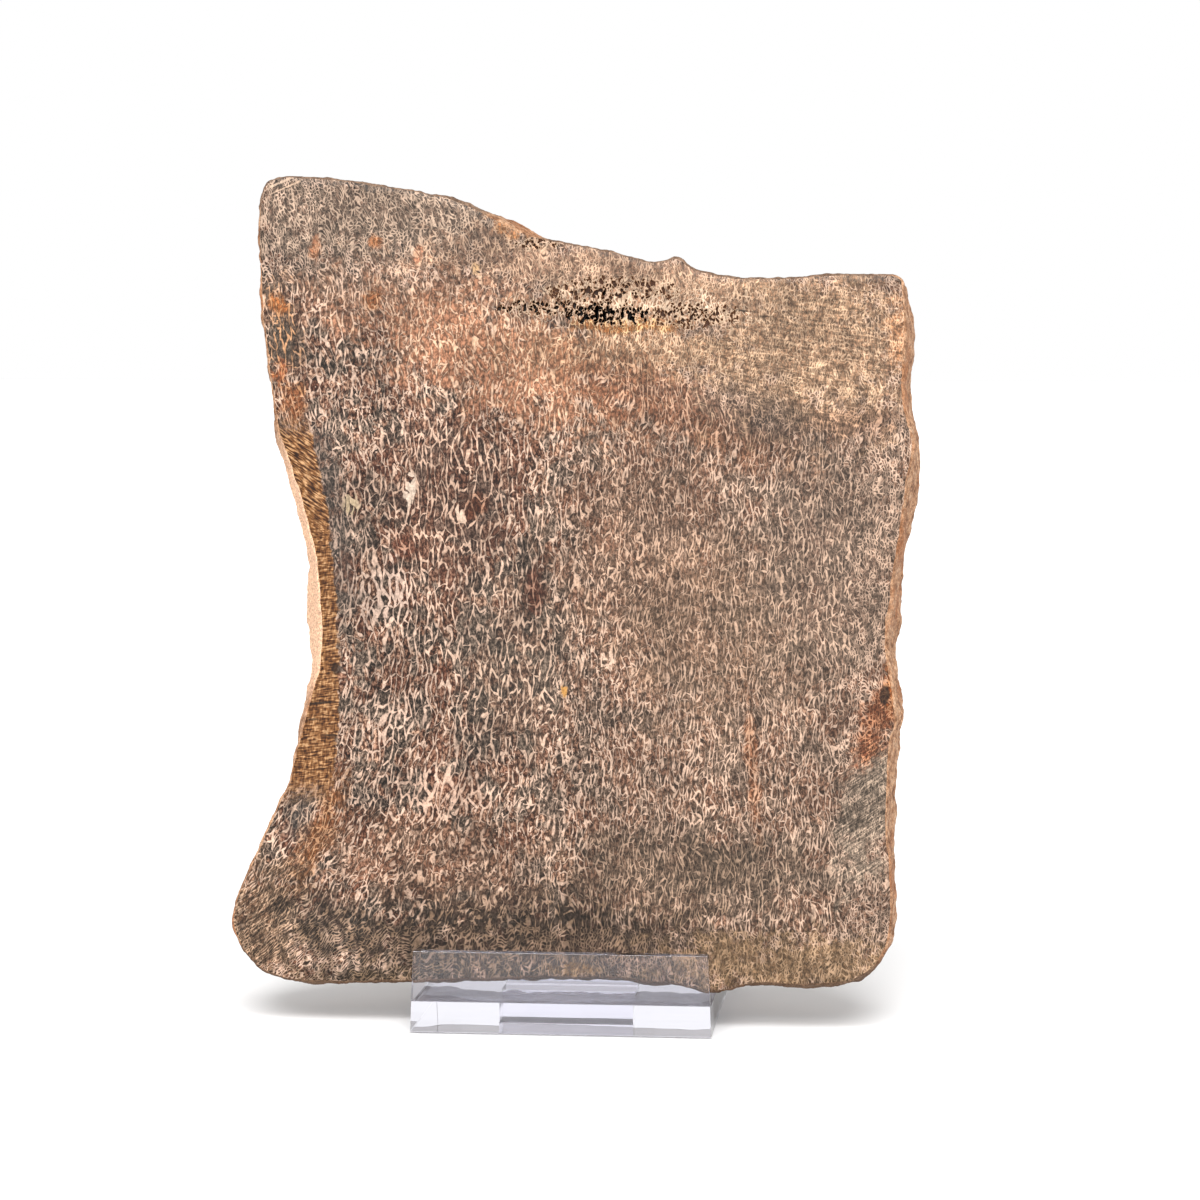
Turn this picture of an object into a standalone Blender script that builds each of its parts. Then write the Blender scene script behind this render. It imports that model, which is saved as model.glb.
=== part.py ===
"""A polished slab of fossil bone that leans on a small clear display stand.

Units are metres and +Z is up. The polished face looks towards -Y. The model is
built around the middle of the stand's lip, and moved as a whole at the end, so
that the origin lies under the middle of its bounding box.
"""

import math
import random

import bmesh
import bpy
from mathutils import Vector, noise

MM = 0.001

# The bone slab
THICKNESS = 12.0 * MM
LEAN = math.radians(9.0)
FACE_TO_LIP = 5.5 * MM
SAMPLES_ROUND = 320
STEPS_A_SPAN = 24
EDGE_ROUND = 0.3 * MM
COARSE_LUMP = 0.8 * MM
FINE_LUMP = 0.4 * MM
COARSE_WAVE = 7.0 * MM
FINE_WAVE = 3.0 * MM
LUMPS_AT_FACE = 0.4
LUMPS_FULL_DEPTH = 3.0 * MM
SLAB_LAYERS = (0.0, 0.5, 2.0, 4.0, 6.0, 8.0, 10.0, 11.5, 12.0)

# The edge of the polished face in millimetres, clockwise from the top left: how
# far across, how far up the face, and how far the back stands out past the face
OUTLINE = (
    (-55.2, 137.0, 0.0),
    (-52.8, 140.2, 0.0),
    (-44.0, 140.1, 0.0),
    (-32.8, 138.7, 0.0),
    (-22.0, 136.5, 0.3),
    (-13.4, 132.6, 2.2),
    (-7.5, 129.9, 1.4),
    (3.8, 127.8, 0.0),
    (13.0, 125.4, 0.0),
    (17.4, 126.2, 0.0),
    (20.8, 123.9, 0.0),
    (29.0, 122.6, 0.0),
    (42.0, 123.0, 0.0),
    (53.8, 123.1, 0.0),
    (55.9, 120.0, 0.7),
    (56.4, 112.0, 1.5),
    (56.0, 101.8, 1.2),
    (57.7, 93.5, 1.4),
    (56.2, 82.0, 1.0),
    (54.2, 68.0, 1.5),
    (53.5, 60.0, 1.6),
    (55.3, 49.0, 1.0),
    (54.3, 41.0, 1.3),
    (54.0, 30.6, 1.1),
    (54.9, 16.0, 0.5),
    (53.4, 8.0, 0.2),
    (47.5, 3.1, 0.0),
    (33.0, 2.7, 0.0),
    (25.0, 1.2, -1.0),
    (17.0, 2.7, 0.0),
    (-1.0, 3.3, 0.0),
    (-21.0, 2.5, 0.0),
    (-39.0, 1.7, 0.0),
    (-50.6, 2.8, 0.0),
    (-56.2, 8.6, 0.0),
    (-57.0, 15.0, 0.0),
    (-53.2, 24.0, 0.0),
    (-48.4, 35.0, 0.4),
    (-46.1, 45.0, 2.0),
    (-43.3, 56.0, 3.3),
    (-43.1, 64.0, 4.4),
    (-44.8, 76.0, 3.0),
    (-48.6, 88.5, 2.1),
    (-51.6, 97.0, 2.2),
    (-53.8, 111.0, 1.0),
    (-55.4, 126.0, 0.0),
)

# The streak of open pores near the top of the polished face
PORE_STREAK_START = -8.0 * MM
PORE_STREAK_END = 28.0 * MM
PORE_STREAK_HEIGHT = 116.6 * MM
PORE_CORE_START = 1.5 * MM
PORE_CORE_END = 11.0 * MM
PORE_PITCH = 1.6 * MM
PORE_WIDTH = 0.9 * MM
PORE_LENGTH = 2.2 * MM
PORE_DEPTH = 1.8 * MM
PORE_SHIFT = 0.4 * MM
PORE_CORE_ROWS = (-1.3 * MM, 1.5 * MM)
PORE_CORE_SIZE = (0.9, 1.15)
PORE_OUTER_SIZE = (0.55, 0.8)

# The stand
STAND_WIDTH = 50.5 * MM
STAND_DEPTH = 45.0 * MM
BASE_THICKNESS = 4.9 * MM
LIP_THICKNESS = 2.0 * MM
LIP_HEIGHT = 13.6 * MM
LIP_TAPER = 0.55 * MM
WINDOW_WIDTH = 22.8 * MM
WINDOW_START = 12.2 * MM
WINDOW_LENGTH = 5.2 * MM
TONGUE_THICKNESS = 2.5 * MM
TONGUE_HEIGHT = 48.0 * MM
TONGUE_TOP_WIDTH = 16.0 * MM
TONGUE_ROOT = 1.5 * MM
TONGUE_ROUND_STEPS = 16
MOULD_ROUND = 0.25 * MM
REST_GAP = 0.3 * MM


def clear_scene():
    for obj in list(bpy.data.objects):
        bpy.data.objects.remove(obj, do_unlink=True)


def new_collection(name):
    collection = bpy.data.collections.new(name)
    bpy.context.scene.collection.children.link(collection)
    return collection


def add_object(name, mesh, collection):
    obj = bpy.data.objects.new(name, mesh)
    collection.objects.link(obj)
    return obj


def principled(name, colour, roughness, transmission=0.0, ior=1.5):
    material = bpy.data.materials.new(name)
    material.use_nodes = True
    shader = material.node_tree.nodes["Principled BSDF"]
    shader.inputs["Base Color"].default_value = (*colour, 1.0)
    shader.inputs["Roughness"].default_value = roughness
    shader.inputs["Metallic"].default_value = 0.0
    shader.inputs["Transmission Weight"].default_value = transmission
    shader.inputs["IOR"].default_value = ior
    return material


def spline_point(before, start, end, after, t):
    """A point on the smooth curve from start to end, at t between 0 and 1."""
    bend = 2.0 * before - 5.0 * start + 4.0 * end - after
    twist = 3.0 * start - before - 3.0 * end + after
    return 0.5 * (2.0 * start + (end - before) * t + bend * t ** 2 + twist * t ** 3)


def even_outline(count):
    """The outline as count evenly spaced points: across, up and flare."""
    corners = [Vector(point) * MM for point in OUTLINE]
    total = len(corners)
    dense = []
    for i in range(total):
        span = [corners[(i + k) % total] for k in (-1, 0, 1, 2)]
        for step in range(STEPS_A_SPAN):
            dense.append(spline_point(*span, step / STEPS_A_SPAN))
    dense.append(dense[0])

    lengths = [0.0]
    for a, b in zip(dense, dense[1:]):
        lengths.append(lengths[-1] + (b.xy - a.xy).length)

    points = []
    k = 0
    for i in range(count):
        wanted = lengths[-1] * i / count
        while lengths[k + 1] < wanted:
            k += 1
        share = (wanted - lengths[k]) / (lengths[k + 1] - lengths[k])
        points.append(dense[k].lerp(dense[k + 1], share))
    return points


def outward_normals(points):
    """The direction out of the clockwise outline at each of its points."""
    normals = []
    for i, _ in enumerate(points):
        along = points[(i + 1) % len(points)].xy - points[i - 1].xy
        normals.append(Vector((-along.y, along.x)).normalized())
    return normals


def lump(point):
    """The height of the broken side's lumps at a point of the slab."""
    coarse = noise.noise(point / COARSE_WAVE) * COARSE_LUMP
    fine = noise.noise(point / FINE_WAVE + Vector((7.0, 3.0, 5.0))) * FINE_LUMP
    return coarse + fine


def side_ring(points, normals, depth):
    """One layer of the slab's broken side, at a depth behind the face."""
    share = depth / THICKNESS
    to_nearest_face = min(depth, THICKNESS - depth)
    inset = max(0.0, EDGE_ROUND - to_nearest_face)
    lumpy = LUMPS_AT_FACE + (1.0 - LUMPS_AT_FACE) * min(1.0, depth / LUMPS_FULL_DEPTH)
    ring = []
    for point, normal in zip(points, normals):
        here = Vector((point.x, depth, point.y))
        out = point.z * share - inset + lump(here) * lumpy
        place = point.xy + normal * out
        ring.append(Vector((place.x, depth, place.y)))
    return ring


def slab_mesh():
    """The slab in its own frame: a loft from the face to the sawn back."""
    points = even_outline(SAMPLES_ROUND)
    normals = outward_normals(points)
    bm = bmesh.new()
    layers = []
    for depth in SLAB_LAYERS:
        ring = side_ring(points, normals, depth * MM)
        layers.append([bm.verts.new(place) for place in ring])
    for front, back in zip(layers, layers[1:]):
        for i in range(SAMPLES_ROUND):
            j = (i + 1) % SAMPLES_ROUND
            bm.faces.new((front[i], front[j], back[j], back[i]))
    bm.faces.new(layers[0])
    bm.faces.new(layers[-1])
    bmesh.ops.recalc_face_normals(bm, faces=bm.faces)
    mesh = bpy.data.meshes.new("bone_slab")
    bm.to_mesh(mesh)
    bm.free()
    return mesh


def pore_cutter_mesh():
    """The open pores, as upright egg shapes set in the polished face."""
    spread = random.Random(4)
    bm = bmesh.new()
    columns = int((PORE_STREAK_END - PORE_STREAK_START) / PORE_PITCH)
    for column in range(columns):
        across = PORE_STREAK_START + (column + spread.uniform(0.2, 0.8)) * PORE_PITCH
        in_core = PORE_CORE_START < across < PORE_CORE_END
        rows = PORE_CORE_ROWS if in_core else (0.0,)
        for row in rows:
            size = spread.uniform(*(PORE_CORE_SIZE if in_core else PORE_OUTER_SIZE))
            shift = spread.uniform(-PORE_SHIFT, PORE_SHIFT)
            height = PORE_STREAK_HEIGHT + row + shift
            made = bmesh.ops.create_uvsphere(bm, u_segments=8, v_segments=5, radius=0.5)
            scale = Vector((PORE_WIDTH, 2.0 * PORE_DEPTH, PORE_LENGTH)) * size
            bmesh.ops.scale(bm, vec=scale, verts=made["verts"])
            bmesh.ops.translate(bm, vec=(across, 0.0, height), verts=made["verts"])
    mesh = bpy.data.meshes.new("pore_cutter")
    bm.to_mesh(mesh)
    bm.free()
    return mesh


def add_boolean(obj, cutter, operation):
    boolean = obj.modifiers.new(f"{operation.lower()} {cutter.name}", "BOOLEAN")
    boolean.object = cutter
    boolean.operation = operation
    boolean.solver = "EXACT"


def mark_as_cutter(obj):
    obj.hide_render = True
    obj.display_type = "WIRE"


def lean_on_stand(obj, lift):
    """Tip an object modelled in the slab's frame back to where the slab leans."""
    obj.location = (0.0, FACE_TO_LIP, BASE_THICKNESS + lift)
    obj.rotation_euler.x = -LEAN


def slab_lift(mesh):
    """How far up the slab goes, so that it just clears the top of the base."""
    lowest = min(
        vert.co.z * math.cos(LEAN) - vert.co.y * math.sin(LEAN)
        for vert in mesh.vertices
        if abs(vert.co.x) < STAND_WIDTH / 2.0
    )
    return REST_GAP - lowest


def build_bone(collection, cutters):
    mesh = slab_mesh()
    bone = add_object("bone_slab", mesh, collection)
    pores = add_object("pore_cutter", pore_cutter_mesh(), cutters)
    mark_as_cutter(pores)
    add_boolean(bone, pores, "DIFFERENCE")
    mesh.materials.append(principled("polished fossil bone", (0.30, 0.20, 0.15), 0.45))
    lift = slab_lift(mesh)
    lean_on_stand(bone, lift)
    lean_on_stand(pores, lift)
    return bone


def window_mesh():
    """The cutter of the opening through the base, longer than the base is thick."""
    bm = bmesh.new()
    bmesh.ops.create_cube(bm, size=1.0)
    size = (WINDOW_WIDTH, WINDOW_LENGTH, 3.0 * BASE_THICKNESS)
    bmesh.ops.scale(bm, vec=size, verts=bm.verts)
    middle = (0.0, WINDOW_START + WINDOW_LENGTH / 2.0, BASE_THICKNESS / 2.0)
    bmesh.ops.translate(bm, vec=middle, verts=bm.verts)
    mesh = bpy.data.meshes.new("window")
    bm.to_mesh(mesh)
    bm.free()
    return mesh


def tongue_outline():
    """The back rest's flat outline: straight tapering sides and a round top."""
    root = WINDOW_WIDTH / 2.0
    radius = TONGUE_TOP_WIDTH / 2.0
    shoulder = TONGUE_HEIGHT - radius
    points = [(-root, -TONGUE_ROOT), (root, -TONGUE_ROOT), (root, 0.0)]
    for step in range(TONGUE_ROUND_STEPS + 1):
        angle = math.pi * step / TONGUE_ROUND_STEPS
        points.append((radius * math.cos(angle), shoulder + radius * math.sin(angle)))
    points.append((-root, 0.0))
    return points


def body_outline():
    """The base and the lip from the side: how far back, and how far up."""
    return (
        (-LIP_THICKNESS, 0.0),
        (STAND_DEPTH, 0.0),
        (STAND_DEPTH, BASE_THICKNESS),
        (0.0, BASE_THICKNESS),
        (0.0, LIP_HEIGHT),
        (-LIP_THICKNESS, LIP_HEIGHT),
    )


def extruded_mesh(name, outline, thickness):
    """A flat outline with a thickness, as a closed mesh."""
    curve = bpy.data.curves.new(name, "CURVE")
    curve.dimensions = "2D"
    curve.fill_mode = "BOTH"
    curve.extrude = thickness / 2.0
    spline = curve.splines.new("POLY")
    spline.points.add(len(outline) - 1)
    for point, (along, up) in zip(spline.points, outline):
        point.co = (along, up, 0.0, 1.0)
    spline.use_cyclic_u = True

    flat = add_object(name, curve, bpy.context.scene.collection)
    bpy.context.view_layer.update()
    evaluated = flat.evaluated_get(bpy.context.evaluated_depsgraph_get())
    mesh = bpy.data.meshes.new_from_object(evaluated)
    bpy.data.objects.remove(flat, do_unlink=True)

    bm = bmesh.new()
    bm.from_mesh(mesh)
    bmesh.ops.remove_doubles(bm, verts=bm.verts, dist=0.01 * MM)
    bmesh.ops.recalc_face_normals(bm, faces=bm.faces)
    bm.to_mesh(mesh)
    bm.free()
    return mesh


def body_mesh():
    """The base and the lip in one, a little narrower at the top than below."""
    mesh = extruded_mesh("body", body_outline(), STAND_WIDTH)
    for vert in mesh.vertices:
        back, up, across = vert.co
        draft = LIP_TAPER * up / LIP_HEIGHT
        vert.co = (across - math.copysign(draft, across), back, up)
    return mesh


def place_tongue(obj):
    """Stand the back rest behind the slab, at the slab's own angle."""
    back = THICKNESS + REST_GAP
    foot = FACE_TO_LIP + back / math.cos(LEAN) + TONGUE_THICKNESS / 2.0 / math.cos(LEAN)
    obj.location = (0.0, foot, BASE_THICKNESS)
    obj.rotation_euler.x = math.pi / 2.0 - LEAN


def build_stand(collection, cutters):
    stand = add_object("display_stand", body_mesh(), collection)
    tongue = extruded_mesh("tongue", tongue_outline(), TONGUE_THICKNESS)
    tongue_tool = add_object("tongue_tool", tongue, cutters)
    place_tongue(tongue_tool)
    window_tool = add_object("window_tool", window_mesh(), cutters)

    for tool, operation in ((tongue_tool, "UNION"), (window_tool, "DIFFERENCE")):
        mark_as_cutter(tool)
        add_boolean(stand, tool, operation)

    rounding = stand.modifiers.new("moulded edges", "BEVEL")
    rounding.width = MOULD_ROUND
    rounding.segments = 2
    rounding.limit_method = "ANGLE"
    rounding.angle_limit = math.radians(50.0)
    clear = principled("clear acrylic", (0.95, 0.95, 1.0), 0.03, transmission=1.0, ior=1.49)
    stand.data.materials.append(clear)
    return stand


def centre_on_origin(pieces):
    """Move everything so that the origin is under the bounding box's middle."""
    bpy.context.view_layer.update()
    graph = bpy.context.evaluated_depsgraph_get()
    corners = []
    for piece in pieces:
        evaluated = piece.evaluated_get(graph)
        corners += [piece.matrix_world @ vert.co for vert in evaluated.data.vertices]
    middle_x = (min(c.x for c in corners) + max(c.x for c in corners)) / 2.0
    middle_y = (min(c.y for c in corners) + max(c.y for c in corners)) / 2.0
    for obj in bpy.data.objects:
        obj.location.x -= middle_x
        obj.location.y -= middle_y


def build():
    clear_scene()
    parts = new_collection("polished_fossil_bone")
    cutters = new_collection("cutters")
    bone = build_bone(parts, cutters)
    stand = build_stand(parts, cutters)
    centre_on_origin((bone, stand))


build()
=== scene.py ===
"""Looks of a polished slab of fossil dinosaur bone on its clear display stand.

Metres, +Z up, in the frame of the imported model. The polished face looks
towards -Y and leans back.
"""

import math

import bmesh
import bpy
import numpy as np
from mathutils import Matrix, Vector, geometry, kdtree, noise


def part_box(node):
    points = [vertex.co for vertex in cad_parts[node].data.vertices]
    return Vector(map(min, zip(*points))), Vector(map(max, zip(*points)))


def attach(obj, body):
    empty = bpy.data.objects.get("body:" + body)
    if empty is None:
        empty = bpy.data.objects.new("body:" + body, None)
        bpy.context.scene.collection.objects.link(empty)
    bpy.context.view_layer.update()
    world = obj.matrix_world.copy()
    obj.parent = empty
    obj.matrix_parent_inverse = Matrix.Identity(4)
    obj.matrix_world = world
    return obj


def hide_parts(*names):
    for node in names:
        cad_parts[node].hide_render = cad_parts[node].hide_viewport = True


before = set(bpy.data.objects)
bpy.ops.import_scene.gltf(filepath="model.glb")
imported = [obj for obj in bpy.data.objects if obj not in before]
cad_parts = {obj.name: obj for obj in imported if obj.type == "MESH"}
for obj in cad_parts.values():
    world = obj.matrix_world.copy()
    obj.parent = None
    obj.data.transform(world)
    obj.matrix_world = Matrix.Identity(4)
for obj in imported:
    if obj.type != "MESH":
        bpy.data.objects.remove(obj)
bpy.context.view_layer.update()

MM = 0.001

# The bone slab: petrified spongy bone, sawn front and back and polished on the
# front, with broken natural surfaces all round. It is one piece of stone that
# stands on its lower edge and leans back at nine degrees.

LEAN = math.radians(9.0)
SLAB_THICKNESS = 12.0 * MM
LIP_THICKNESS = 2.0 * MM
FACE_TO_LIP = 5.5 * MM
BASE_THICKNESS = 4.9 * MM
WELD = 0.005 * MM
SAWN_NORMAL = 0.95
SIDE_CUTS = 3
ROW_STEP = 0.87
FACE_SPACING = 1.2 * MM
BACK_SPACING = 1.9 * MM
PORE_SPACING = 0.10 * MM
RIM_MARGIN = 0.45 * MM
RIM_TOLERANCE = 0.1 * MM
FACE_TOLERANCE = 0.05 * MM
# The solid's own hollow for the largest pores, which the fine face replaces
HOLLOW_ACROSS = (-12.0 * MM, 32.0 * MM)
HOLLOW_UP = (110.0 * MM, 122.0 * MM)
HOLLOW_DEPTH = 3.0 * MM
# Roughness of the broken side: height in millimetres, and scale of its noise
LARGE_LUMPS = (0.20, 0.55)
SMALL_LUMPS = (0.13, 1.3)
PITS = (0.16, Vector((1.9, 1.9, 1.1)))
EDGE_CHIPPING = 0.10

stand_low, stand_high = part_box("display_stand")
face_foot = Vector((
    (stand_low.x + stand_high.x) / 2.0,
    stand_low.y + LIP_THICKNESS + FACE_TO_LIP,
    BASE_THICKNESS,
))
slab_place = Matrix.Translation(face_foot) @ Matrix.Rotation(-LEAN, 4, "X")

# Zones of the face where pores stand open, in millimetres on the face: across,
# up, half width and half height, then their depth and the share of open pores
OPEN_ZONES = (
    ((6.0, 116.2, 7.5, 1.9), 1.3, 0.60),
    ((-6.0, 117.4, 7.5, 1.3), 0.8, 0.34),
    ((19.5, 116.2, 9.0, 2.2), 0.5, 0.22),
    ((6.0, 120.2, 12.0, 2.4), 0.5, 0.10),
    ((-7.5, 128.4, 4.5, 0.9), 0.5, 0.42),
)
# Where cells broke through into the largest openings, and how deep they are
LARGE_PORES = (
    ((3.6, 116.6, 0.38, 1.45), 2.6),
    ((4.9, 116.1, 0.30, 0.80), 2.0),
    ((6.3, 116.6, 0.42, 0.38), 1.8),
    ((1.9, 115.6, 0.42, 0.32), 1.6),
    ((8.0, 116.2, 0.28, 0.75), 1.8),
    ((9.6, 115.6, 0.50, 0.38), 1.6),
    ((11.4, 116.0, 0.30, 0.42), 1.4),
    ((4.8, 119.9, 0.26, 0.45), 1.2),
)
PORE_CELL = (0.50, 0.66)
PORE_WALL = 0.06
# Round an open zone, as multiples of its size: where the pores and the fine
# mesh end, and where the mesh of the next zone and the coarse mesh start
PORES_END = 1.2
FINE_END = 1.25
NEXT_ZONE_START = 1.27
COARSE_START = 1.3

POLISHED_FACE, BROKEN_SIDE, SAWN_BACK = range(3)


def side_wall(bm):
    """Keep only the broken side of the slab, and cut its faces finer."""
    caps = []
    for face in bm.faces:
        middle = face.calc_center_median()
        sawn = abs(face.normal.y) > SAWN_NORMAL
        hollow = (
            HOLLOW_ACROSS[0] < middle.x < HOLLOW_ACROSS[1]
            and HOLLOW_UP[0] < middle.z < HOLLOW_UP[1]
            and middle.y < HOLLOW_DEPTH
        )
        if sawn or hollow:
            caps.append(face)
    bmesh.ops.delete(bm, geom=caps, context="FACES")
    bmesh.ops.subdivide_edges(
        bm, edges=bm.edges, cuts=SIDE_CUTS, use_grid_fill=True, smooth=0.6
    )


def rim_loop(bm, depth):
    """The open rim of the side wall at a depth, as vertices in order."""
    open_edges = [e for e in bm.edges if e.is_boundary]
    rim = [e for e in open_edges if abs(e.verts[0].co.y - depth) < RIM_TOLERANCE]
    loop = [rim[0].verts[0], rim[0].verts[1]]
    left = set(rim[1:])
    while left:
        here = loop[-1]
        edge = next(e for e in here.link_edges if e in left)
        left.remove(edge)
        loop.append(edge.other_vert(here))
    return loop[:-1]


def lattice(low, high, spacing):
    """Points of a grid with every other row shifted by half a step."""
    rows = int((high[1] - low[1]) / (spacing * ROW_STEP)) + 1
    columns = int((high[0] - low[0]) / spacing) + 1
    across, up = np.meshgrid(np.arange(columns), np.arange(rows))
    shifted = across + 0.5 * (up % 2)
    x = low[0] + shifted * spacing
    z = low[1] + up * spacing * ROW_STEP
    return np.stack([x.ravel(), z.ravel()], 1)


def inside(points, outline):
    """Which points lie inside a closed outline."""
    within = np.zeros(len(points), bool)
    for a, b in zip(outline, np.roll(outline, -1, axis=0)):
        spans = (a[1] > points[:, 1]) != (b[1] > points[:, 1])
        rise = b[1] - a[1] if b[1] != a[1] else 1e-12
        crossing = a[0] + (points[:, 1] - a[1]) * (b[0] - a[0]) / rise
        within ^= spans & (points[:, 0] < crossing)
    return within


def clear_of(points, rim, margin):
    """The points that keep a margin from every point of the rim."""
    tree = kdtree.KDTree(len(rim))
    for i, (x, z) in enumerate(rim):
        tree.insert((x, 0.0, z), i)
    tree.balance()
    return np.array([tree.find((x, 0.0, z))[2] > margin for x, z in points], bool)


def zone_nearness(x, z, zone):
    """Below one inside an oval zone of the face, and growing away from it."""
    across, up, half_width, half_height = zone
    return np.hypot((x - across) / half_width, (z - up) / half_height)


def face_points(outline, spacing, open_zones):
    """Points to span a sawn face, closer together where pores stand open."""
    low, high = outline.min(0), outline.max(0)
    coarse = lattice(low, high, spacing)
    coarse = coarse[inside(coarse, outline)]
    coarse = coarse[clear_of(coarse, outline, max(RIM_MARGIN, spacing * 0.5))]
    fine = [np.zeros((0, 2))]
    zones = [zone for zone, *_ in open_zones]
    for number, zone in enumerate(zones):
        across, up, half_width, half_height = zone
        reach = np.array([half_width, half_height]) * FINE_END * MM
        middle = np.array([across, up]) * MM
        close = lattice(middle - reach, middle + reach, PORE_SPACING)
        close = close[zone_nearness(*close.T / MM, zone) < FINE_END]
        for other in zones[:number]:
            close = close[zone_nearness(*close.T / MM, other) > NEXT_ZONE_START]
        coarse = coarse[zone_nearness(*coarse.T / MM, zone) > COARSE_START]
        fine.append(close)
    return np.concatenate([coarse, *fine])


def fill_sawn_face(bm, loop, spacing, finish, open_zones=()):
    """Close the rim with a flat face of even triangles."""
    outline = np.array([(v.co.x, v.co.z) for v in loop])
    depth = sum(v.co.y for v in loop) / len(loop)
    points = face_points(outline, spacing, open_zones)
    flat = [Vector(p) for p in np.concatenate([outline, points])]
    count = len(loop)
    rim = [(i, (i + 1) % count) for i in range(count)]
    places, _, triangles, *_ = geometry.delaunay_2d_cdt(flat, rim, [], 1, 1e-9)
    verts = list(loop) + [bm.verts.new((p.x, depth, p.y)) for p in places[count:]]
    for triangle in triangles:
        face = bm.faces.new([verts[i] for i in triangle])
        face.material_index = finish


def roughen_sides(bm):
    """Raise the broken side into small lumps, and chip its sawn edges."""
    bm.normal_update()
    for vert in bm.verts:
        spot = vert.co / MM
        from_edge = min(spot.y, SLAB_THICKNESS / MM - spot.y)
        height = LARGE_LUMPS[0] * noise.noise(spot * LARGE_LUMPS[1])
        height += SMALL_LUMPS[0] * noise.noise(spot * SMALL_LUMPS[1] + Vector((5, 1, 3)))
        height -= PITS[0] * max(0.0, noise.noise(spot * PITS[1]) - 0.15)
        outward = vert.normal.copy()
        if from_edge < 0.05:
            outward.y = 0.0
            height -= EDGE_CHIPPING
        vert.co += outward * height * min(1.0, 0.75 + from_edge) * MM


def pore_opening(centre):
    """How deep the pore round a cell's centre is, or nothing if it is closed."""
    x, z = centre.x * PORE_CELL[0], centre.z * PORE_CELL[1]
    chance = noise.cell(centre * 7.3)
    depth = 0.0
    for zone, deepest, share in OPEN_ZONES:
        near = zone_nearness(x, z, zone)
        if near < 1.0 and chance < share * (1.0 - 0.6 * near**3):
            depth = max(depth, deepest * (1.0 - 0.4 * near))
    return depth


def pore_at(spot):
    """At a spot of the polished face in millimetres: how deep an open pore is,
    and how close the spot is to the wall of one."""
    bend_across = noise.noise(spot * 0.8)
    bend_up = noise.noise(spot * 0.8 + Vector((9, 4, 2)))
    bent = spot + Vector((bend_across, 0.0, bend_up)) * 0.25
    cell = Vector((bent.x / PORE_CELL[0], 2.0, bent.z / PORE_CELL[1]))
    distances, centres = noise.voronoi(cell)
    gap = 0.5 * (distances[1] - distances[0]) - PORE_WALL
    own, other = (pore_opening(centre) for centre in centres[:2])
    size = 0.16 * noise.cell(centres[0] * 3.1)
    depth = own * min(1.0, max(0.0, (gap - size) / 0.07))
    rim = max(0.0, 1.0 - abs(gap - size) / 0.12) if own or other else 0.0
    ragged = 1.0 + 0.35 * noise.noise(spot * 1.6)
    for zone, deepest in LARGE_PORES:
        into = ragged - zone_nearness(spot.x, spot.z, zone)
        if into > 0.0:
            depth = max(depth, deepest * min(1.0, into / 0.25))
    return depth, rim


def sink_pores(bm):
    """Press the open pores into the polished face, and mark their walls."""
    rims = bm.verts.layers.float.new("pore_wall")
    verts = [v for v in bm.verts if v.co.y < FACE_TOLERANCE]
    x, z = np.array([(v.co.x, v.co.z) for v in verts]).T / MM
    zones = [zone_nearness(x, z, zone) for zone, *_ in OPEN_ZONES]
    for vert, near in zip(verts, np.min(zones, 0)):
        if near < PORES_END and not vert.is_boundary:
            depth, vert[rims] = pore_at(vert.co / MM)
            vert.co.y += depth * MM


def keep_in_box(bm, low, high):
    """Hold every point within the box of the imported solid."""
    for vert in bm.verts:
        vert.co = [min(max(c, l), h) for c, l, h in zip(vert.co, low, high)]


def bone_mesh():
    """The slab's fine mesh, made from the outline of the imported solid."""
    bm = bmesh.new()
    bm.from_mesh(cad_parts["bone_slab"].data)
    bmesh.ops.remove_doubles(bm, verts=bm.verts, dist=WELD)
    bm.transform(slab_place.inverted())
    bm.normal_update()
    side_wall(bm)
    roughen_sides(bm)
    for face in bm.faces:
        face.material_index = BROKEN_SIDE
    fill_sawn_face(bm, rim_loop(bm, 0.0), FACE_SPACING, POLISHED_FACE, OPEN_ZONES)
    fill_sawn_face(bm, rim_loop(bm, SLAB_THICKNESS), BACK_SPACING, SAWN_BACK)
    bmesh.ops.recalc_face_normals(bm, faces=bm.faces)
    sink_pores(bm)
    bm.transform(slab_place)
    keep_in_box(bm, *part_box("bone_slab"))
    mesh = bpy.data.meshes.new("fossil_bone")
    bm.to_mesh(mesh)
    bm.free()
    return mesh


bone = bpy.data.objects.new("fossil_bone", bone_mesh())
bpy.context.scene.collection.objects.link(bone)
for face in bone.data.polygons:
    face.use_smooth = True


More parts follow.
